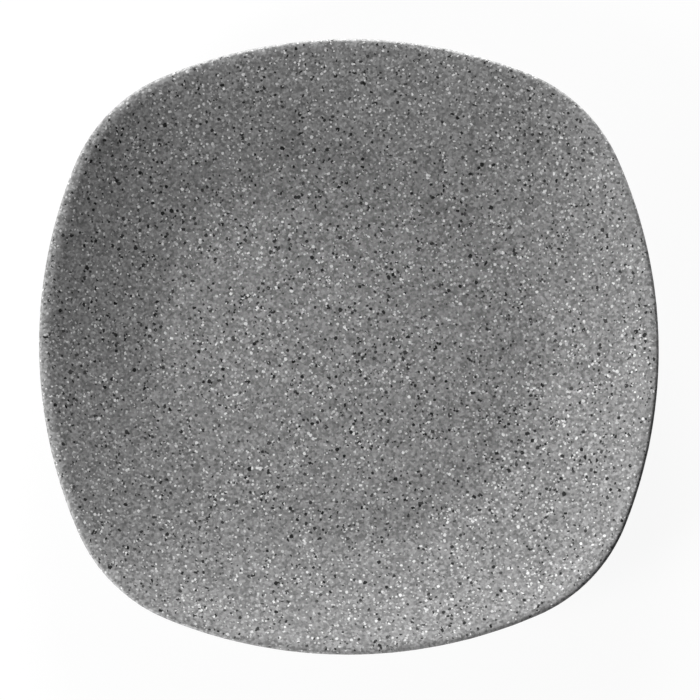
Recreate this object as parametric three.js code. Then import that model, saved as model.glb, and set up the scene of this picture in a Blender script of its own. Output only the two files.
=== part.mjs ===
// A square stoneware plate: bowed sides, round corners, a round flat well and a speckled granite glaze.
// Millimetres, +Z up. The origin lies on the table, under the middle of the plate.
import * as THREE from "three";
import { mergeGeometries, toCreasedNormals } from "three/addons/utils/BufferGeometryUtils.js";

// Outline from above, over the glaze
const PLATE_WIDTH = 280; // middle of one side to the middle of the opposite side
const SIDE_RADIUS = 215; // bow of each side
const CORNER_RADIUS = 74; // round of each corner

// Section from the middle to the lip, over the glaze
const PLATE_HEIGHT = 26; // table to the top of the lip
const COVE_RADIUS = 60; // hollow bend from the floor into the wall
const WALL_SLOPE = THREE.MathUtils.degToRad(14.5); // of the wall where it leaves the cove
const LIP_SLOPE = THREE.MathUtils.degToRad(27); // of the wall where it reaches the lip
const WALL_THICKNESS = 4;
const LIP_ROUND = 9; // wide round from the wall to the top of the lip
const BASE_THICKNESS = 5; // clay and both glazes under the flat floor

// Foot ring, over the glaze
const FOOT_DEPTH = 3; // table to the base, inside and outside the ring
const FOOT_WIDTH = 6; // across the ring
const FOOT_INSET = 3; // from the heel of the outer wall in to the ring
const FOOT_FILLET = 1.2; // hollow bends where the ring joins the base
const FOOT_EDGE = 0.8; // round edges of the standing face
const HEEL_RADIUS = 12; // bend from the base into the outer wall

// Glaze
const GLAZE_THICKNESS = 0.5;
const BARE_BAND = 1; // height of the foot ring that is wiped clean of glaze

// Facets
const STEPS_AROUND = 72;
const LIP_STEPS = 2; // for each of three stretches: to the outermost line, to the top and in to the wall
const COVE_STEPS = 4;
const WALL_STEPS = 4;
const SMALL_BEND_STEPS = 2;
const SAME_POINT = 1e-6; // points closer than this are one
const CREASE_ANGLE = THREE.MathUtils.degToRad(40); // edges sharper than this are shaded as edges

// Directions in a section, where the plate's axis stands on the left
const QUARTER_TURN = Math.PI / 2;
const OUTWARD = 0;
const UP = QUARTER_TURN;
const INWARD = 2 * QUARTER_TURN;
const DOWN = -QUARTER_TURN;

// The wall is hollow: from the cove to the lip it bends up on one wide radius, which takes up the height that
// the cove leaves. The flat floor is as wide as the wall and the cove leave it.
const halfWidth = PLATE_WIDTH / 2;
const floorHeight = FOOT_DEPTH + BASE_THICKNESS;
const lipRise = LIP_ROUND * (1 - Math.cos(LIP_SLOPE));
const coveRise = COVE_RADIUS * (1 - Math.cos(WALL_SLOPE));
const wallRise = PLATE_HEIGHT - floorHeight - lipRise - coveRise;
const wallRadius = wallRise / (Math.cos(WALL_SLOPE) - Math.cos(LIP_SLOPE));

// The lip is two rounds that meet at its top: the wide one that the wall runs into, and a small one over the
// edge. The small one is of the size that brings the outer wall one thickness under the inner one.
const wallToLip = wallRadius + LIP_ROUND;
const outerWallRadius = wallRadius + WALL_THICKNESS;
const outerWallShort = outerWallRadius - LIP_ROUND;
const lipToEdge =
  (wallToLip ** 2 - outerWallShort ** 2) / (2 * (wallToLip * Math.cos(LIP_SLOPE) + outerWallShort));
const edgeRadius = LIP_ROUND - lipToEdge;
const edgeCentre = new THREE.Vector2(halfWidth - edgeRadius, PLATE_HEIGHT - edgeRadius);
const lipCentre = new THREE.Vector2(edgeCentre.x, PLATE_HEIGHT - LIP_ROUND);
const wallCentre = new THREE.Vector2(
  lipCentre.x - wallToLip * Math.sin(LIP_SLOPE),
  lipCentre.y + wallToLip * Math.cos(LIP_SLOPE),
);
const edgeSlope = Math.atan2(edgeCentre.x - wallCentre.x, wallCentre.y - edgeCentre.y);
const coveCentre = new THREE.Vector2(
  wallCentre.x + (wallRadius - COVE_RADIUS) * Math.sin(WALL_SLOPE),
  floorHeight + COVE_RADIUS,
);

// The outer wall runs from the lip down to the heel that bends it into the base.
const heelToWallCentre = outerWallRadius - HEEL_RADIUS;
const heelDrop = wallCentre.y - FOOT_DEPTH - HEEL_RADIUS;
const heelSlope = Math.acos(heelDrop / heelToWallCentre);
const heelCentre = new THREE.Vector2(
  wallCentre.x + heelToWallCentre * Math.sin(heelSlope),
  FOOT_DEPTH + HEEL_RADIUS,
);
const footOutside = heelCentre.x - FOOT_INSET;
const footInside = footOutside - FOOT_WIDTH;

// The bends round the foot ring are limited by its height, by the shoulder outside it and by its own width.
const footFillet = Math.min(FOOT_FILLET, FOOT_DEPTH - BARE_BAND, FOOT_INSET / 2);
const clayFootOutside = footOutside - GLAZE_THICKNESS;
const clayFootInside = footInside + GLAZE_THICKNESS;
const footEdge = Math.min(FOOT_EDGE, BARE_BAND, (clayFootOutside - clayFootInside) / 3);

// Carries a section on to a point with a straight run, unless it is there already.
function addPoint(section, point) {
  if (section.at(-1).distanceTo(point) > SAME_POINT) section.push(point);
}

// Carries a section on to a round bend, then round it from each direction to the next.
function addBend(section, centre, radius, directions, steps) {
  directions.slice(1).forEach((to, i) => {
    const from = directions[i];
    const bend = new THREE.EllipseCurve(centre.x, centre.y, radius, radius, from, to, to < from);
    bend.getPoints(steps).forEach((point) => addPoint(section, point));
  });
}

// The section from the glaze line outside the foot ring, up the wall and over the lip, to the middle of the
// floor. It lies at a depth below the glazed surface.
function faceSection(depth) {
  const outsideFillet = new THREE.Vector2(footOutside + footFillet, FOOT_DEPTH - footFillet);
  const underHeel = DOWN + heelSlope;
  const underEdge = DOWN + edgeSlope;
  const belowLip = DOWN + LIP_SLOPE;
  const aboveCove = DOWN + WALL_SLOPE;
  const section = [new THREE.Vector2(footOutside - depth, BARE_BAND)];
  addBend(section, outsideFillet, footFillet + depth, [INWARD, UP], SMALL_BEND_STEPS);
  addBend(section, heelCentre, HEEL_RADIUS - depth, [DOWN, underHeel], SMALL_BEND_STEPS);
  addBend(section, wallCentre, outerWallRadius - depth, [underHeel, underEdge], WALL_STEPS);
  addBend(section, edgeCentre, edgeRadius - depth, [underEdge, OUTWARD, UP], LIP_STEPS);
  addBend(section, lipCentre, LIP_ROUND - depth, [UP, UP + LIP_SLOPE], LIP_STEPS);
  addBend(section, wallCentre, wallRadius + depth, [belowLip, aboveCove], WALL_STEPS);
  addBend(section, coveCentre, COVE_RADIUS + depth, [aboveCove, DOWN], COVE_STEPS);
  addPoint(section, new THREE.Vector2(0, floorHeight - depth));
  return section;
}

// The section from the middle of the base, out to the foot ring and down its inside to the glaze line.
function recessSection(depth) {
  const insideFillet = new THREE.Vector2(footInside - footFillet, FOOT_DEPTH - footFillet);
  const section = [new THREE.Vector2(0, FOOT_DEPTH + depth)];
  addBend(section, insideFillet, footFillet + depth, [UP, OUTWARD], SMALL_BEND_STEPS);
  addPoint(section, new THREE.Vector2(footInside + depth, BARE_BAND));
  return section;
}

// The bare clay between the two glaze lines: round edges and the flat standing face.
function standingSection() {
  const innerEdge = new THREE.Vector2(clayFootInside + footEdge, footEdge);
  const outerEdge = new THREE.Vector2(clayFootOutside - footEdge, footEdge);
  const section = [new THREE.Vector2(clayFootInside, BARE_BAND)];
  addBend(section, innerEdge, footEdge, [INWARD, INWARD + QUARTER_TURN], SMALL_BEND_STEPS);
  addBend(section, outerEdge, footEdge, [DOWN, OUTWARD], SMALL_BEND_STEPS);
  addPoint(section, new THREE.Vector2(clayFootOutside, BARE_BAND));
  return section;
}

// How far the outline lies from the middle: a bowed side as far as the corner's round, which it meets
// smoothly.
function outlineReach(angle) {
  const sideShift = SIDE_RADIUS - halfWidth;
  const gap = SIDE_RADIUS - CORNER_RADIUS;
  const corner = (Math.sqrt(2 * gap ** 2 - sideShift ** 2) - sideShift) / 2;
  const meeting = Math.atan2(corner, corner + sideShift);
  const meetingPoint = new THREE.Vector2(
    SIDE_RADIUS * Math.cos(meeting) - sideShift,
    SIDE_RADIUS * Math.sin(meeting),
  );
  const fromSide = Math.abs(angle - Math.round(angle / QUARTER_TURN) * QUARTER_TURN);
  if (fromSide < meetingPoint.angle()) {
    return reachOfRound(SIDE_RADIUS, sideShift, INWARD - fromSide);
  }
  return reachOfRound(CORNER_RADIUS, corner * Math.SQRT2, QUARTER_TURN / 2 - fromSide);
}

// How far a round lies from the middle, seen at an angle from the direction of its centre.
function reachOfRound(radius, centreDistance, angle) {
  const offLine = centreDistance * Math.sin(angle);
  return centreDistance * Math.cos(angle) + Math.sqrt(radius ** 2 - offLine ** 2);
}

// Turns a section round the plate's axis. The foot and the well stay round, and from the heel outwards the
// wall eases into the square outline, which the whole lip follows.
function turned(section) {
  const sheet = new THREE.LatheGeometry(section, STEPS_AROUND).rotateX(QUARTER_TURN);
  const place = sheet.getAttribute("position");
  const lipStart = lipCentre.x - LIP_ROUND * Math.sin(LIP_SLOPE);
  for (let i = 0; i < place.count; i += 1) {
    const radius = Math.hypot(place.getX(i), place.getY(i));
    if (radius <= heelCentre.x) continue;
    const angle = Math.atan2(place.getY(i), place.getX(i));
    const share = THREE.MathUtils.smoothstep(radius, heelCentre.x, lipStart);
    const reach = radius + share * (outlineReach(angle) - halfWidth);
    place.setXY(i, reach * Math.cos(angle), reach * Math.sin(angle));
  }
  return sheet;
}

// The same sheet with its faces turned to the other side.
function facingInward(sheet) {
  sheet.index.array.reverse();
  return sheet;
}

function piece(name, sheets, colour, roughness) {
  const geometry = toCreasedNormals(mergeGeometries(sheets), CREASE_ANGLE);
  const material = new THREE.MeshStandardMaterial({ color: colour, roughness, metalness: 0 });
  const mesh = new THREE.Mesh(geometry, material);
  mesh.name = name;
  return mesh;
}

// A coat of glaze lies on the clay all over, and ends in a square edge at its glaze line.
function glazeCoat(name, sectionAt, glazeLine) {
  const outside = turned(sectionAt(0));
  const againstClay = facingInward(turned(sectionAt(GLAZE_THICKNESS)));
  return piece(name, [outside, againstClay, turned(glazeLine)], "#808080", 0.45);
}

const claySections = [recessSection(GLAZE_THICKNESS), standingSection(), faceSection(GLAZE_THICKNESS)];
const stonewareBody = piece("stoneware_body", claySections.map(turned), "#b7a893", 0.8);

const speckledGlaze = glazeCoat("speckled_glaze", faceSection, [
  new THREE.Vector2(clayFootOutside, BARE_BAND),
  new THREE.Vector2(footOutside, BARE_BAND),
]);

const footWellGlaze = glazeCoat("foot_well_glaze", recessSection, [
  new THREE.Vector2(footInside, BARE_BAND),
  new THREE.Vector2(clayFootInside, BARE_BAND),
]);

const plate = new THREE.Group();
plate.add(stonewareBody, speckledGlaze, footWellGlaze);

export default plate;
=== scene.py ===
import math

import bpy
from mathutils import Matrix, Vector


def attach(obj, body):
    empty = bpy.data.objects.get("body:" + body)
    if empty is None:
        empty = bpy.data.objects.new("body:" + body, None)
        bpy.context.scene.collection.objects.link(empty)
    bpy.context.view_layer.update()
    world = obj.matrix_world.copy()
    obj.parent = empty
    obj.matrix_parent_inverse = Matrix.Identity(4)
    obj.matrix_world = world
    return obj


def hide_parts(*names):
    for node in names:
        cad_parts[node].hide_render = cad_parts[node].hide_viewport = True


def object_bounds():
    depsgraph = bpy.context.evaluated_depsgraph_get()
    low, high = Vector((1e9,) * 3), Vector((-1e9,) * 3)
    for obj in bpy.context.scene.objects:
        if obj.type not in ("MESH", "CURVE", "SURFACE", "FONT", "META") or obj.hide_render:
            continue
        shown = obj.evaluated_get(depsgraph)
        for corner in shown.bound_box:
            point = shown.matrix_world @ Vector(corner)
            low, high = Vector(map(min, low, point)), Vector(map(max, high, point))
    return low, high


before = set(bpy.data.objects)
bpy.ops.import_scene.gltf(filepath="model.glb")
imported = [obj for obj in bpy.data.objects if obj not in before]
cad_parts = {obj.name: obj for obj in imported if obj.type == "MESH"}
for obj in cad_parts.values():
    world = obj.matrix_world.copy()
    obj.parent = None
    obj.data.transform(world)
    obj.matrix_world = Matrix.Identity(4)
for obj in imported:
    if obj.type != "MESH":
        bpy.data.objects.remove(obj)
cad_low, cad_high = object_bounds()

# The clay body is one pressing of buff stoneware: flat base, hollow wall, soft lip and foot ring.
# It is fired before it is glazed, and only the wiped foot ring stays bare, matt and a little gritty.
# All sizes are in metres and measured over the glaze, and the clay lies one glaze thickness inside.
half_width = cad_high.x
plate_height = cad_high.z
side_radius = 0.215
corner_radius = 0.074
wall_thickness = 0.004
base_thickness = 0.005
cove_radius = 0.060
wall_slope = math.radians(14.5)
lip_slope = math.radians(27)
lip_round = 0.009
foot_depth = 0.003
foot_width = 0.006
foot_inset = 0.003
foot_fillet = 0.0012
foot_edge = 0.0008
heel_radius = 0.012
glaze_thickness = 0.0005
bare_band = 0.001
steps_around = 256
section_step = 0.002
finest_bend = math.radians(9)
crease_angle = math.radians(40)
weld_distance = 1e-6
clay_relief_depth = 0.00004
clay_relief_size = 0.0015
clay_relief_seed = 3.0
clay_patch_size = 0.011
clay_patch_edges = (0.3, 0.7)
clay_dark = (0.37, 0.30, 0.23, 1)
clay_pale = (0.52, 0.45, 0.37, 1)
grog_spacing = 0.0011
grog_edges = (0.12, 0.3)
grog_colour = (0.2, 0.15, 0.11, 1)
clay_grit_size = 0.0005
clay_grit_depth = 0.0001
clay_grit_strength = 0.6
clay_roughness = (0.75, 0.95)

quarter_turn = math.pi / 2
UP, OUTWARD, DOWN = quarter_turn, 0, -quarter_turn

well_height = foot_depth + base_thickness
lip_rise = lip_round * (1 - math.cos(lip_slope))
cove_rise = cove_radius * (1 - math.cos(wall_slope))
wall_rise = plate_height - well_height - lip_rise - cove_rise
wall_radius = wall_rise / (math.cos(wall_slope) - math.cos(lip_slope))
wall_to_lip = wall_radius + lip_round
outer_wall_radius = wall_radius + wall_thickness
outer_wall_short = outer_wall_radius - lip_round
lip_to_edge = (wall_to_lip**2 - outer_wall_short**2) / 2
lip_to_edge /= wall_to_lip * math.cos(lip_slope) + outer_wall_short
edge_radius = lip_round - lip_to_edge
edge_centre = Vector((half_width - edge_radius, plate_height - edge_radius))
lip_centre = Vector((edge_centre.x, plate_height - lip_round))
wall_centre = lip_centre + wall_to_lip * Vector((-math.sin(lip_slope), math.cos(lip_slope)))
edge_slope = math.atan2(edge_centre.x - wall_centre.x, wall_centre.y - edge_centre.y)
cove_centre_x = wall_centre.x + (wall_radius - cove_radius) * math.sin(wall_slope)
cove_centre = Vector((cove_centre_x, well_height + cove_radius))
heel_to_wall = outer_wall_radius - heel_radius
heel_slope = math.acos((wall_centre.y - foot_depth - heel_radius) / heel_to_wall)
heel_centre = Vector((wall_centre.x + heel_to_wall * math.sin(heel_slope), foot_depth + heel_radius))
foot_outside = heel_centre.x - foot_inset
foot_inside = foot_outside - foot_width
clay_foot_outside = foot_outside - glaze_thickness
clay_foot_inside = foot_inside + glaze_thickness


def run_to(section, end):
    """Carries a section on to a point with a straight run."""
    start = section[-1]
    steps = math.ceil((end - start).length / section_step)
    section.extend(start.lerp(end, step / steps) for step in range(1, steps + 1))


def bend_round(section, centre, radius, directions):
    """Carries a section on to a round bend, then round it from each direction to the next."""
    for start, end in zip(directions, directions[1:]):
        turn = abs(end - start)
        steps = math.ceil(max(turn * radius / section_step, turn / finest_bend))
        angles = [start + (end - start) * step / steps for step in range(steps + 1)]
        points = [centre + radius * Vector((math.cos(angle), math.sin(angle))) for angle in angles]
        if (points[0] - section[-1]).length > weld_distance:
            run_to(section, points[0])
        section.extend(points[1:])


def face_section(depth):
    """The section from the middle of the floor, over the lip and down to the glaze line on the foot."""
    above_cove = DOWN + wall_slope
    below_lip = DOWN + lip_slope
    under_edge = DOWN + edge_slope
    under_heel = DOWN + heel_slope
    fillet_centre = Vector((foot_outside + foot_fillet, foot_depth - foot_fillet))
    section = [Vector((0, well_height - depth))]
    bend_round(section, cove_centre, cove_radius + depth, [DOWN, above_cove])
    bend_round(section, wall_centre, wall_radius + depth, [above_cove, below_lip])
    bend_round(section, lip_centre, lip_round - depth, [UP + lip_slope, UP])
    bend_round(section, edge_centre, edge_radius - depth, [UP, OUTWARD, under_edge])
    bend_round(section, wall_centre, outer_wall_radius - depth, [under_edge, under_heel])
    bend_round(section, heel_centre, heel_radius - depth, [under_heel, DOWN])
    bend_round(section, fillet_centre, foot_fillet + depth, [UP, UP + quarter_turn])
    run_to(section, Vector((foot_outside - depth, bare_band)))
    return section


def recess_section(depth):
    """The section from the middle of the base out to the foot ring, and down it to the glaze line."""
    fillet_centre = Vector((foot_inside - foot_fillet, foot_depth - foot_fillet))
    section = [Vector((0, foot_depth + depth))]
    bend_round(section, fillet_centre, foot_fillet + depth, [UP, OUTWARD])
    run_to(section, Vector((foot_inside + depth, bare_band)))
    return section


def clay_section():
    """The whole clay body, from the middle of its floor round to the middle of its base."""
    outer_edge = Vector((clay_foot_outside - foot_edge, foot_edge))
    inner_edge = Vector((clay_foot_inside + foot_edge, foot_edge))
    section = face_section(glaze_thickness)
    bend_round(section, outer_edge, foot_edge, [OUTWARD, DOWN])
    bend_round(section, inner_edge, foot_edge, [DOWN, DOWN - quarter_turn])
    recess = recess_section(glaze_thickness)[::-1]
    run_to(section, recess[0])
    return section + recess[1:]


def section_mesh(name, points, shows):
    """A section as a mesh of points, which also says where its surface shows and has relief."""
    mesh = bpy.data.meshes.new(name)
    mesh.from_pydata([(point.x, 0, point.y) for point in points], [], [])
    relief = mesh.attributes.new("relief", "FLOAT", "POINT")
    relief.data.foreach_set("value", [float(shows(place)) for place in range(len(points))])
    return mesh


def add(tree, kind, inputs=None, **settings):
    """Adds a node with its settings, and fills its inputs with values or with other nodes' outputs."""
    made = tree.nodes.new(kind)
    for name, value in settings.items():
        setattr(made, name, value)
    for key, value in (inputs or {}).items():
        if isinstance(value, bpy.types.NodeSocket):
            tree.links.new(value, made.inputs[key])
        else:
            made.inputs[key].default_value = value
    return made


def calc(tree, operation, *values):
    """One step of arithmetic in a tree, as the socket that holds its result."""
    return add(tree, "ShaderNodeMath", dict(enumerate(values)), operation=operation).outputs["Value"]


def new_tree(name, inputs, outputs):
    """An empty geometry tree with named inputs and outputs, and the sockets for both inside it."""
    tree = bpy.data.node_groups.new(name, "GeometryNodeTree")
    for label, kind in inputs.items():
        tree.interface.new_socket(label, in_out="INPUT", socket_type="NodeSocket" + kind)
    for label, kind in outputs.items():
        tree.interface.new_socket(label, in_out="OUTPUT", socket_type="NodeSocket" + kind)
    given = tree.nodes.new("NodeGroupInput").outputs
    result = tree.nodes.new("NodeGroupOutput").inputs
    return tree, given, result


def round_reach_tree():
    """How far a round lies from the plate's middle, seen at an angle from the direction of its centre."""
    inputs = {"Radius": "Float", "Centre Distance": "Float", "Angle": "Float"}
    tree, given, result = new_tree("reach of a round", inputs, {"Reach": "Float"})
    along = calc(tree, "MULTIPLY", given["Centre Distance"], calc(tree, "COSINE", given["Angle"]))
    across = calc(tree, "MULTIPLY", given["Centre Distance"], calc(tree, "SINE", given["Angle"]))
    radius_squared = calc(tree, "MULTIPLY", given["Radius"], given["Radius"])
    across_squared = calc(tree, "MULTIPLY", across, across)
    half_chord = calc(tree, "SQRT", calc(tree, "SUBTRACT", radius_squared, across_squared))
    tree.links.new(calc(tree, "ADD", along, half_chord), result["Reach"])
    return tree


outline_inputs = {
    "Side Radius": "Float",
    "Side Centre Distance": "Float",
    "Corner Radius": "Float",
    "Corner Centre Distance": "Float",
    "Meeting Angle": "Float",
}


def outline_reach_tree(round_reach):
    """How far the outline lies from the middle: a bowed side as far as the corner's round."""
    inputs = outline_inputs | {"Angle": "Float"}
    tree, given, result = new_tree("reach of the outline", inputs, {"Reach": "Float"})
    from_side = calc(tree, "PINGPONG", given["Angle"], math.pi / 4)
    rounds = []
    for name, angle in (
        ("Side", calc(tree, "SUBTRACT", math.pi, from_side)),
        ("Corner", calc(tree, "SUBTRACT", math.pi / 4, from_side)),
    ):
        sizes = {
            "Radius": given[name + " Radius"],
            "Centre Distance": given[name + " Centre Distance"],
            "Angle": angle,
        }
        rounds.append(add(tree, "GeometryNodeGroup", sizes, node_tree=round_reach).outputs["Reach"])
    on_corner = calc(tree, "GREATER_THAN", from_side, given["Meeting Angle"])
    choices = {"Switch": on_corner, "False": rounds[0], "True": rounds[1]}
    chosen = add(tree, "GeometryNodeSwitch", choices, input_type="FLOAT")
    tree.links.new(chosen.outputs["Output"], result["Reach"])
    return tree


def turning_tree(outline_reach):
    """Turns a section round the axis, eases it from round to the square outline and gives it relief."""
    inputs = {
        "Section": "Geometry",
        "Steps Around": "Int",
        "Half Width": "Float",
        **outline_inputs,
        "Round Until": "Float",
        "Square From": "Float",
        "Relief Depth": "Float",
        "Relief Size": "Float",
        "Relief Seed": "Float",
        "Material": "Material",
    }
    tree, given, result = new_tree("turned and squared", inputs, {"Piece": "Geometry"})
    rows = add(tree, "GeometryNodeAttributeDomainSize", {"Geometry": given["Section"]}, component="MESH")
    tube = add(
        tree,
        "GeometryNodeMeshCylinder",
        {
            "Vertices": given["Steps Around"],
            "Side Segments": calc(tree, "SUBTRACT", rows.outputs["Point Count"], 1.0),
        },
        fill_type="NONE",
    )
    index = add(tree, "GeometryNodeInputIndex").outputs["Index"]
    row = calc(tree, "FLOOR", calc(tree, "DIVIDE", calc(tree, "ADD", index, 0.5), given["Steps Around"]))
    column = calc(tree, "SUBTRACT", index, calc(tree, "MULTIPLY", row, given["Steps Around"]))
    angle = calc(tree, "MULTIPLY", calc(tree, "DIVIDE", column, given["Steps Around"]), math.tau)

    place = add(tree, "GeometryNodeInputPosition").outputs["Position"]
    point = add(
        tree,
        "GeometryNodeSampleIndex",
        {"Geometry": given["Section"], "Value": place, "Index": row},
        data_type="FLOAT_VECTOR",
    )
    relief_there = add(tree, "GeometryNodeInputNamedAttribute", {"Name": "relief"}, data_type="FLOAT")
    relief = add(
        tree,
        "GeometryNodeSampleIndex",
        {"Geometry": given["Section"], "Value": relief_there.outputs["Attribute"], "Index": row},
        data_type="FLOAT",
    )
    point = add(tree, "ShaderNodeSeparateXYZ", {"Vector": point.outputs["Value"]}).outputs

    sizes = {name: given[name] for name in outline_inputs}
    reach = add(tree, "GeometryNodeGroup", sizes | {"Angle": angle}, node_tree=outline_reach)
    beyond_round = calc(tree, "SUBTRACT", reach.outputs["Reach"], given["Half Width"])
    share = add(
        tree,
        "ShaderNodeMapRange",
        {"Value": point["X"], "From Min": given["Round Until"], "From Max": given["Square From"]},
        interpolation_type="SMOOTHSTEP",
    )
    radius = calc(tree, "MULTIPLY_ADD", share.outputs["Result"], beyond_round, point["X"])
    target = add(
        tree,
        "ShaderNodeCombineXYZ",
        {
            "X": calc(tree, "MULTIPLY", radius, calc(tree, "COSINE", angle)),
            "Y": calc(tree, "MULTIPLY", radius, calc(tree, "SINE", angle)),
            "Z": point["Z"],
        },
    )
    marked = add(
        tree,
        "GeometryNodeStoreNamedAttribute",
        {"Geometry": tube.outputs["Mesh"], "Name": "relief", "Value": relief.outputs["Value"]},
        data_type="FLOAT",
        domain="POINT",
    )
    placed = add(
        tree,
        "GeometryNodeSetPosition",
        {"Geometry": marked.outputs["Geometry"], "Position": target.outputs["Vector"]},
    )
    welded = add(
        tree,
        "GeometryNodeMergeByDistance",
        {"Geometry": placed.outputs["Geometry"], "Distance": weld_distance},
    )
    hills = add(
        tree,
        "ShaderNodeTexNoise",
        {
            "Vector": place,
            "W": given["Relief Seed"],
            "Scale": calc(tree, "DIVIDE", 1.0, given["Relief Size"]),
            "Detail": 0.0,
        },
        noise_dimensions="4D",
    )
    kept_relief = add(tree, "GeometryNodeInputNamedAttribute", {"Name": "relief"}, data_type="FLOAT")
    height = calc(tree, "MULTIPLY", hills.outputs[0], kept_relief.outputs["Attribute"])
    inwards = calc(tree, "MULTIPLY", height, calc(tree, "MULTIPLY", given["Relief Depth"], -1.0))
    normal = add(tree, "GeometryNodeInputNormal").outputs["Normal"]
    offset = add(tree, "ShaderNodeVectorMath", {0: normal, "Scale": inwards}, operation="SCALE")
    uneven = add(
        tree,
        "GeometryNodeSetPosition",
        {"Geometry": welded.outputs["Geometry"], "Offset": offset.outputs["Vector"]},
    )
    smooth = add(tree, "GeometryNodeSetShadeSmooth", {"Geometry": uneven.outputs["Geometry"]})
    real = add(tree, "GeometryNodeRealizeInstances", {"Geometry": smooth.outputs["Geometry"]})
    finished = add(
        tree,
        "GeometryNodeSetMaterial",
        {"Geometry": real.outputs["Geometry"], "Material": given["Material"]},
    )
    tree.links.new(finished.outputs["Geometry"], result["Piece"])
    return tree


def made_by_tree(name, start, tree, inputs):
    """A piece whose mesh is what a tree makes of a starting mesh. It keeps that mesh and no modifier."""
    piece = bpy.data.objects.new(name, start)
    bpy.context.scene.collection.objects.link(piece)
    modifier = piece.modifiers.new(name, "NODES")
    modifier.node_group = tree
    for socket in tree.interface.items_tree:
        if socket.in_out == "INPUT" and socket.name in inputs:
            modifier[socket.identifier] = inputs[socket.name]
    evaluated = piece.evaluated_get(bpy.context.evaluated_depsgraph_get())
    mesh = bpy.data.meshes.new_from_object(evaluated)
    piece.modifiers.clear()
    piece.data = mesh
    bpy.data.meshes.remove(start)
    mesh.name = name
    return piece


def new_material(name):
    """A material with its tree and its main shader."""
    material = bpy.data.materials.new(name)
    material.use_nodes = True
    return material, material.node_tree, material.node_tree.nodes["Principled BSDF"]


def noise(tree, place, size, detail=2.0):
    """Soft noise with features of a size in metres, as a value around a half."""
    settings = {"Vector": place, "Scale": 1 / size, "Detail": detail}
    return add(tree, "ShaderNodeTexNoise", settings).outputs[0]


def between(tree, share, first, second):
    """A value that goes from the first to the second as a share goes from 0 to 1."""
    mixed = add(tree, "ShaderNodeMix", {0: share, 2: first, 3: second}, data_type="FLOAT")
    return mixed.outputs[0]


def colour_between(tree, share, first, second):
    """A colour that goes from the first to the second as a share goes from 0 to 1."""
    mixed = add(tree, "ShaderNodeMix", {0: share, 6: first, 7: second}, data_type="RGBA")
    return mixed.outputs[2]


def step_between(tree, value, low, high):
    """A smooth step from 0, at a low value, to 1, at a high one."""
    limits = {"Value": value, "From Min": low, "From Max": high}
    return add(tree, "ShaderNodeMapRange", limits, interpolation_type="SMOOTHSTEP").outputs["Result"]


def bare_stoneware():
    """Buff fired clay with paler and darker patches and dark grog, matt and finely gritty."""
    material, tree, shader = new_material("bare stoneware")
    place = add(tree, "ShaderNodeTexCoord").outputs["Object"]
    patches = step_between(tree, noise(tree, place, clay_patch_size, detail=4.0), *clay_patch_edges)
    clay_colour = colour_between(tree, patches, clay_dark, clay_pale)
    grog = add(tree, "ShaderNodeTexVoronoi", {"Vector": place, "Scale": 1 / grog_spacing})
    around_grog = step_between(tree, grog.outputs["Distance"], *grog_edges)
    colour = colour_between(tree, around_grog, grog_colour, clay_colour)
    tree.links.new(colour, shader.inputs["Base Color"])
    grit = noise(tree, place, clay_grit_size, detail=3.0)
    tree.links.new(between(tree, grit, *clay_roughness), shader.inputs["Roughness"])
    bump = add(
        tree,
        "ShaderNodeBump",
        {"Height": grit, "Strength": clay_grit_strength, "Distance": clay_grit_depth},
    )
    tree.links.new(bump.outputs["Normal"], shader.inputs["Normal"])
    return material


side_centre_distance = side_radius - half_width
corner_gap = side_radius - corner_radius
corner_place = (math.sqrt(2 * corner_gap**2 - side_centre_distance**2) - side_centre_distance) / 2
meeting_direction = math.atan2(corner_place, corner_place + side_centre_distance)
meeting_x = side_radius * math.cos(meeting_direction) - side_centre_distance
meeting_y = side_radius * math.sin(meeting_direction)
plate_form = {
    "Steps Around": steps_around,
    "Half Width": half_width,
    "Side Radius": side_radius,
    "Side Centre Distance": side_centre_distance,
    "Corner Radius": corner_radius,
    "Corner Centre Distance": corner_place * math.sqrt(2),
    "Meeting Angle": math.atan2(meeting_y, meeting_x),
    "Round Until": heel_centre.x,
    "Square From": lip_centre.x - lip_round * math.sin(lip_slope),
}
turning = turning_tree(outline_reach_tree(round_reach_tree()))
clay_points = clay_section()
clay_start = section_mesh("clay section", clay_points, lambda place: clay_points[place].y < bare_band)
clay = made_by_tree("clay_body", clay_start, turning, plate_form | {
    "Relief Depth": clay_relief_depth,
    "Relief Size": clay_relief_size,
    "Relief Seed": clay_relief_seed,
    "Material": bare_stoneware(),
})
clay.data.set_sharp_from_angle(angle=crease_angle)
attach(clay, "root")
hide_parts("stoneware_body")

# The granite glaze is one coat over the eating face, the lip, the outer wall and the outside of the foot.
# It is sprayed on half a millimetre thick and fused to the clay, semi-matt mid-grey with a fine mottle.
# Its surface has the soft unevenness of a sprayed coat, and a square wiped edge at the glaze line.
coat_relief_depth = 0.00016
coat_relief_size = 0.005
coat_relief_seed = 11.0
cloud_size = 0.022
cloud_tones = (0.17, 0.195)
mottle_size = 0.0014
mottle_depth = 0.0002
mottle_strength = 0.5
mottle_contrast = (0.5, 1.5)
speck_size = 0.0011
speck_melting = 0.2
speck_contrast = (0.6, 1.4)
# Painted highlight: the glaze is made up to a fifth paler over the top millimetre of the lip, standing in
# for light on the lip.
painted_lip_light_rise = (plate_height - 0.0012, plate_height - 0.0002)
painted_lip_light_paleness = 1.2
glaze_roughness = (0.5, 0.8)
glaze_shine = 0.2


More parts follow.
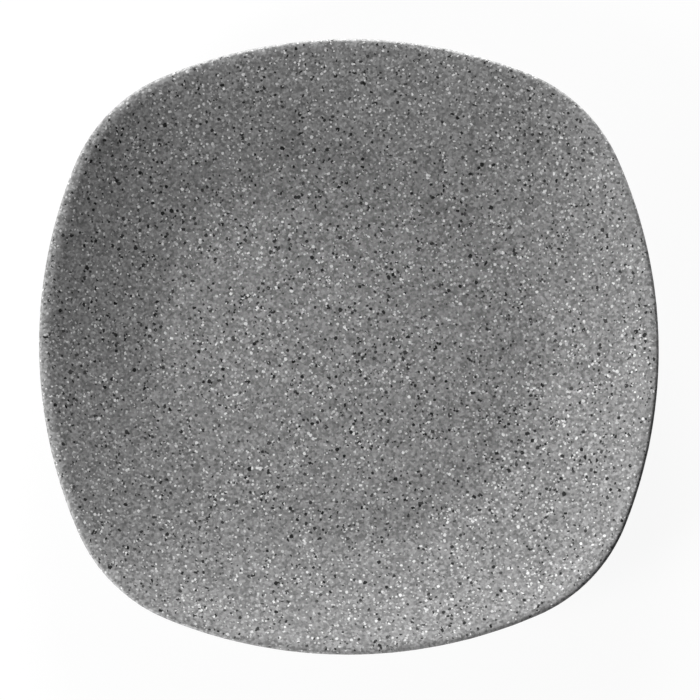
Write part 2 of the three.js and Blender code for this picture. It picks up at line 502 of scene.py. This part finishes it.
def granite_glaze():
    """Neutral mid-grey glaze, clouded, finely mottled, with a painted highlight that pales the top of the
    lip.
    """
    material, tree, shader = new_material("granite glaze")
    place = add(tree, "ShaderNodeTexCoord").outputs["Object"]
    cloud = noise(tree, place, cloud_size)
    mottle = noise(tree, place, mottle_size, detail=1.0)
    cells = add(
        tree,
        "ShaderNodeTexVoronoi",
        {"Vector": place, "Scale": 1 / speck_size, "Smoothness": speck_melting},
        feature="SMOOTH_F1",
    )
    speck = add(tree, "ShaderNodeSeparateColor", {"Color": cells.outputs["Color"]}).outputs["Red"]
    mottling = between(tree, mottle, *mottle_contrast)
    contrast = calc(tree, "MULTIPLY", mottling, between(tree, speck, *speck_contrast))
    rise = add(tree, "ShaderNodeSeparateXYZ", {"Vector": place}).outputs["Z"]
    # Painted highlight on the lip: the colour grows paler towards the top of the plate.
    lip_light_share = step_between(tree, rise, *painted_lip_light_rise)
    painted_lip_lightening = between(tree, lip_light_share, 1.0, painted_lip_light_paleness)
    body = calc(tree, "MULTIPLY", between(tree, cloud, *cloud_tones), painted_lip_lightening)
    tone = calc(tree, "MULTIPLY", body, contrast)
    tree.links.new(tone, shader.inputs["Base Color"])
    tree.links.new(between(tree, mottle, *glaze_roughness), shader.inputs["Roughness"])
    shader.inputs["Specular IOR Level"].default_value = glaze_shine
    bump = add(
        tree,
        "ShaderNodeBump",
        {"Height": mottle, "Strength": mottle_strength, "Distance": mottle_depth},
    )
    tree.links.new(bump.outputs["Normal"], shader.inputs["Normal"])
    return material


glaze = granite_glaze()
coat_face = face_section(0)
coat_points = coat_face + face_section(glaze_thickness)[::-1]
coat_start = section_mesh("coat section", coat_points, lambda place: place < len(coat_face))
coat_relief = {
    "Relief Depth": coat_relief_depth,
    "Relief Size": coat_relief_size,
    "Relief Seed": coat_relief_seed,
    "Material": glaze,
}
coat = made_by_tree("granite_glaze_coat", coat_start, turning, plate_form | coat_relief)
coat.data.set_sharp_from_angle(angle=crease_angle)
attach(coat, "root")
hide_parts("speckled_glaze")

# The recess inside the foot ring has its own patch of the same glaze, sprayed on with the plate face down.
# The wiped foot ring parts it from the main coat, so it is a separate coat with its own glaze line.
recess_back = recess_section(glaze_thickness)
recess_points = recess_back + recess_section(0)[::-1]
recess_start = section_mesh("recess section", recess_points, lambda place: place >= len(recess_back))
recess_coat = made_by_tree("foot_well_glaze_coat", recess_start, turning, plate_form | coat_relief)
recess_coat.data.set_sharp_from_angle(angle=crease_angle)
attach(recess_coat, "root")
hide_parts("foot_well_glaze")

# The grit is coarse coloured stain, charcoal and white, sieved and mixed into the glaze before spraying.
# Each grain is an angular flake that has settled flat in the coat and melted in but for its top.
# Grains lie at random in loose drifts, so that some touch in pairs and short chains.
grain_sides = (4, 5, 6, 4, 5, 6)
grain_chipping = 1.5
chips_across = 1.3
chips_apart = 2.0
grain_narrowest = 0.55
small_grain_bias = 2.0
wholly_outside = 0.9
grain_thickness = 0.0001
grain_proud = 0.000055
drift_size = 0.012
drift_strength = 2.4
grain_roughness = 0.7
grain_shine = 0.15


def grain_tree():
    """Scatters flat angular grains over the outside of a coat, just proud of its surface."""
    inputs = {
        "Coat": "Geometry",
        "Grains per Square Metre": "Float",
        "Smallest": "Float",
        "Largest": "Float",
        "Thickness": "Float",
        "Proud": "Float",
        "Seed": "Int",
        "Material": "Material",
    }
    tree, given, result = new_tree("grit in the glaze", inputs, {"Grit": "Geometry"})

    def store(geometry, name, value):
        """The geometry with a value stored on it."""
        stored = {"Geometry": geometry, "Name": name, "Value": value}
        return add(tree, "GeometryNodeStoreNamedAttribute", stored, data_type="FLOAT").outputs["Geometry"]

    def recall(name):
        """A value that an earlier step stored on the geometry."""
        found = add(tree, "GeometryNodeInputNamedAttribute", {"Name": name}, data_type="FLOAT")
        return found.outputs["Attribute"]

    def drawn(low, high, draw):
        """A random value for each grain, from a draw of its own."""
        limits = {2: low, 3: high, 8: calc(tree, "ADD", given["Seed"], draw)}
        return add(tree, "FunctionNodeRandomValue", limits, data_type="FLOAT").outputs[1]

    outside = add(
        tree,
        "GeometryNodeSeparateGeometry",
        {
            "Geometry": given["Coat"],
            "Selection": calc(tree, "GREATER_THAN", recall("relief"), wholly_outside),
        },
        domain="FACE",
    ).outputs["Selection"]
    place = add(tree, "GeometryNodeInputPosition").outputs["Position"]
    drift = noise(tree, place, drift_size)
    crowding = calc(tree, "MULTIPLY_ADD", drift, drift_strength, 1 - drift_strength / 2)
    crowding = calc(tree, "MAXIMUM", crowding, 0.0)
    density = calc(tree, "MULTIPLY", given["Grains per Square Metre"], crowding)
    scattered = add(
        tree,
        "GeometryNodeDistributePointsOnFaces",
        {"Mesh": outside, "Density": density, "Seed": given["Seed"]},
    )
    points = store(scattered.outputs["Points"], "tone", drawn(0.0, 1.0, 1.0))

    kinds = add(tree, "GeometryNodeGeometryToInstance")
    rise = add(tree, "ShaderNodeSeparateXYZ", {"Vector": place}).outputs["Z"]
    for kind, sides in enumerate(grain_sides):
        flake = add(tree, "GeometryNodeMeshUVSphere", {"Segments": sides, "Rings": 2, "Radius": 1.0})
        unevenness = add(
            tree,
            "ShaderNodeTexNoise",
            {"Vector": place, "W": chips_apart * kind, "Scale": chips_across, "Detail": 0.0},
            noise_dimensions="4D",
        )
        centred = add(
            tree,
            "ShaderNodeVectorMath",
            {0: unevenness.outputs["Color"], 1: (0.5, 0.5, 0.5)},
            operation="SUBTRACT",
        )
        chips = add(
            tree,
            "ShaderNodeVectorMath",
            {0: centred.outputs["Vector"], 1: (grain_chipping, grain_chipping, 0)},
            operation="MULTIPLY",
        )
        chipped = add(
            tree,
            "GeometryNodeSetPosition",
            {"Geometry": store(flake.outputs["Mesh"], "rise", rise), "Offset": chips.outputs["Vector"]},
        )
        tree.links.new(chipped.outputs["Geometry"], kinds.inputs["Geometry"])

    mostly_small = calc(tree, "POWER", drawn(0.0, 1.0, 2.0), small_grain_bias)
    length = between(tree, mostly_small, given["Smallest"], given["Largest"])
    half_length = calc(tree, "DIVIDE", length, 2.0)
    half_breadth = calc(tree, "MULTIPLY", half_length, drawn(grain_narrowest, 1.0, 3.0))
    spread = add(
        tree,
        "ShaderNodeCombineXYZ",
        {"X": half_length, "Y": half_breadth, "Z": given["Thickness"]},
    )
    heading = add(tree, "ShaderNodeCombineXYZ", {"Z": drawn(0.0, math.tau, 4.0)})
    spin = add(tree, "FunctionNodeEulerToRotation", {"Euler": heading.outputs["Vector"]})
    lying = add(
        tree,
        "FunctionNodeRotateRotation",
        {"Rotation": scattered.outputs["Rotation"], "Rotate By": spin.outputs["Rotation"]},
        rotation_space="LOCAL",
    )
    grains = add(
        tree,
        "GeometryNodeInstanceOnPoints",
        {
            "Points": points,
            "Instance": kinds.outputs["Instances"],
            "Pick Instance": True,
            "Instance Index": drawn(0.0, len(grain_sides), 5.0),
            "Rotation": lying.outputs["Rotation"],
            "Scale": spread.outputs["Vector"],
        },
    )
    real = add(tree, "GeometryNodeRealizeInstances", {"Geometry": grains.outputs["Instances"]})

    half_thickness = calc(tree, "DIVIDE", given["Thickness"], 2.0)
    sunk = calc(tree, "SUBTRACT", given["Proud"], half_thickness)
    height = calc(tree, "MULTIPLY_ADD", recall("rise"), half_thickness, sunk)
    normal = add(
        tree,
        "GeometryNodeSampleNearestSurface",
        {"Mesh": outside, "Value": add(tree, "GeometryNodeInputNormal").outputs["Normal"]},
        data_type="FLOAT_VECTOR",
    )
    raised = add(
        tree,
        "ShaderNodeVectorMath",
        {0: normal.outputs["Value"], "Scale": height},
        operation="SCALE",
    )
    surface = add(tree, "GeometryNodeProximity", {0: outside}, target_element="FACES")
    settled = add(
        tree,
        "GeometryNodeSetPosition",
        {
            "Geometry": real.outputs["Geometry"],
            "Position": surface.outputs["Position"],
            "Offset": raised.outputs["Vector"],
        },
    )
    stained = add(
        tree,
        "GeometryNodeSetMaterial",
        {"Geometry": settled.outputs["Geometry"], "Material": given["Material"]},
    )
    tree.links.new(stained.outputs["Geometry"], result["Grit"])
    return tree


def grain_stain(name, darkest, palest, rarity):
    """Fired stain in which each grain has its own tone. The higher the rarity, the fewer are pale."""
    material, tree, shader = new_material(name)
    drawn = add(tree, "ShaderNodeAttribute", attribute_name="tone").outputs["Fac"]
    tone = between(tree, calc(tree, "POWER", drawn, rarity), darkest, palest)
    tree.links.new(tone, shader.inputs["Base Color"])
    shader.inputs["Roughness"].default_value = grain_roughness
    shader.inputs["Specular IOR Level"].default_value = grain_shine
    return material


scatter = grain_tree()
settling = {"Thickness": grain_thickness, "Proud": grain_proud}
charcoal = {
    "Grains per Square Metre": 50000.0,
    "Smallest": 0.0011,
    "Largest": 0.0024,
    "Seed": 21,
    "Material": grain_stain("charcoal stain", darkest=0.008, palest=0.05, rarity=1.5),
}
white = {
    "Grains per Square Metre": 150000.0,
    "Smallest": 0.001,
    "Largest": 0.0019,
    "Seed": 34,
    "Material": grain_stain("white stain", darkest=0.28, palest=0.64, rarity=1.8),
}
for side, host in (("face", coat), ("foot_well", recess_coat)):
    for stain, grains in (("charcoal", charcoal), ("white", white)):
        grit = made_by_tree(f"{side}_{stain}_grit", host.data.copy(), scatter, grains | settling)
        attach(grit, "root")

# The floor is a plain pale sweep that the plate stands on, lit so brightly that it shows as white.
# Some of its own shade is kept round the plate, and more underneath, so that a shadow grounds the plate.
floor_size = 40.0
floor_albedo = 0.8
shade_underneath = 0.7
shade_around = 0.08
underneath_fade = (0.09, 0.135)
around_fade = (0.25, 0.6)


def white_floor():
    """White where it is looked at, with a share of its own lit surface near the plate for a shadow."""
    material, tree, shader = new_material("white floor")
    place = add(tree, "ShaderNodeTexCoord").outputs["Object"]
    distance = add(tree, "ShaderNodeVectorMath", {0: place}, operation="LENGTH").outputs["Value"]
    past_plate = step_between(tree, distance, *underneath_fade)
    far_away = step_between(tree, distance, *around_fade)
    shade = between(tree, far_away, between(tree, past_plate, shade_underneath, shade_around), 0.0)
    shader.inputs["Base Color"].default_value = (floor_albedo,) * 3 + (1,)
    shader.inputs["Roughness"].default_value = 1.0
    shader.inputs["Specular IOR Level"].default_value = 0.0
    glow = add(tree, "ShaderNodeEmission")
    path = add(tree, "ShaderNodeLightPath").outputs
    seen = calc(tree, "MAXIMUM", path["Is Camera Ray"], path["Is Glossy Ray"])
    seen = calc(tree, "MAXIMUM", seen, path["Is Transmission Ray"])
    whiteness = calc(tree, "MULTIPLY", seen, calc(tree, "SUBTRACT", 1.0, shade))
    surface = add(tree, "ShaderNodeMixShader", {0: whiteness, 1: shader.outputs[0], 2: glow.outputs[0]})
    tree.links.new(surface.outputs[0], tree.nodes["Material Output"].inputs["Surface"])
    return material


floor_mesh = bpy.data.meshes.new("floor")
half_floor = floor_size / 2
corner_sides = ((-1, -1), (1, -1), (1, 1), (-1, 1))
floor_corners = [(half_floor * x, half_floor * y, cad_low.z) for x, y in corner_sides]
floor_mesh.from_pydata(floor_corners, [], [(0, 1, 2, 3)])
floor_mesh.materials.append(white_floor())
floor = bpy.data.objects.new("floor", floor_mesh)
bpy.context.scene.collection.objects.link(floor)

# Soft studio light from two round lamps in a dim even room. A low one beyond the top of the picture rakes
# over the plate and makes the near wall brightest. One at the left lights the lip there and fills the rest.
lamp_distance = 1.2
lamp_size = 0.5
room_light = 0.06
for name, elevation, azimuth, watts in (
    ("raking lamp", 10, 90, 43.5),
    ("side lamp", 20, 210, 26.0),
):
    lamp = bpy.data.lights.new(name, "AREA")
    lamp.shape = "DISK"
    lamp.size = lamp_size
    lamp.energy = watts
    up, round_by = math.radians(elevation), math.radians(azimuth)
    level = math.cos(up)
    direction = Vector((level * math.cos(round_by), level * math.sin(round_by), math.sin(up)))
    lamp_object = bpy.data.objects.new(name, lamp)
    lamp_object.location = Vector((0, 0, plate_height / 2)) + lamp_distance * direction
    lamp_object.rotation_euler = direction.to_track_quat("Z", "Y").to_euler()
    bpy.context.scene.collection.objects.link(lamp_object)
room = bpy.data.worlds.new("room")
room.use_nodes = True
room.node_tree.nodes["Background"].inputs["Color"].default_value = (1, 1, 1, 1)
room.node_tree.nodes["Background"].inputs["Strength"].default_value = room_light
bpy.context.scene.world = room

# The camera looks almost straight down through a long lens, so that the outline keeps its true shape.
# It stands a little below and to the left of the plate's middle, and its frame is turned by a degree.
camera_distance = 3.0
camera_tilt = math.radians(6.9)
camera_azimuth = math.radians(-14.1)
camera_roll = math.radians(-0.83)
camera_aim = Vector((0.0003, -0.0021, 0.0236))
camera_sensor = 36.0
camera_reach = 100.0
picture_width = 700
pixels_per_metre = 2214.6
view_width = picture_width / pixels_per_metre
back = Vector((
    math.sin(camera_azimuth) * math.sin(camera_tilt),
    -math.cos(camera_azimuth) * math.sin(camera_tilt),
    math.cos(camera_tilt),
))
sideways = Vector((0, 1, 0)).cross(back).normalized()
upright = back.cross(sideways)
right = math.cos(camera_roll) * sideways + math.sin(camera_roll) * upright
top = math.cos(camera_roll) * upright - math.sin(camera_roll) * sideways
camera = bpy.data.cameras.new("camera")
camera.sensor_width = camera_sensor
camera.lens = camera_sensor * camera_distance / view_width
camera.clip_end = camera_reach
camera_object = bpy.data.objects.new("camera", camera)
facing = Matrix((right, top, back)).transposed().to_4x4()
camera_object.matrix_world = Matrix.Translation(camera_aim + camera_distance * back) @ facing
bpy.context.scene.collection.objects.link(camera_object)
bpy.context.scene.camera = camera_object
bpy.context.scene.view_settings.view_transform = "Standard"
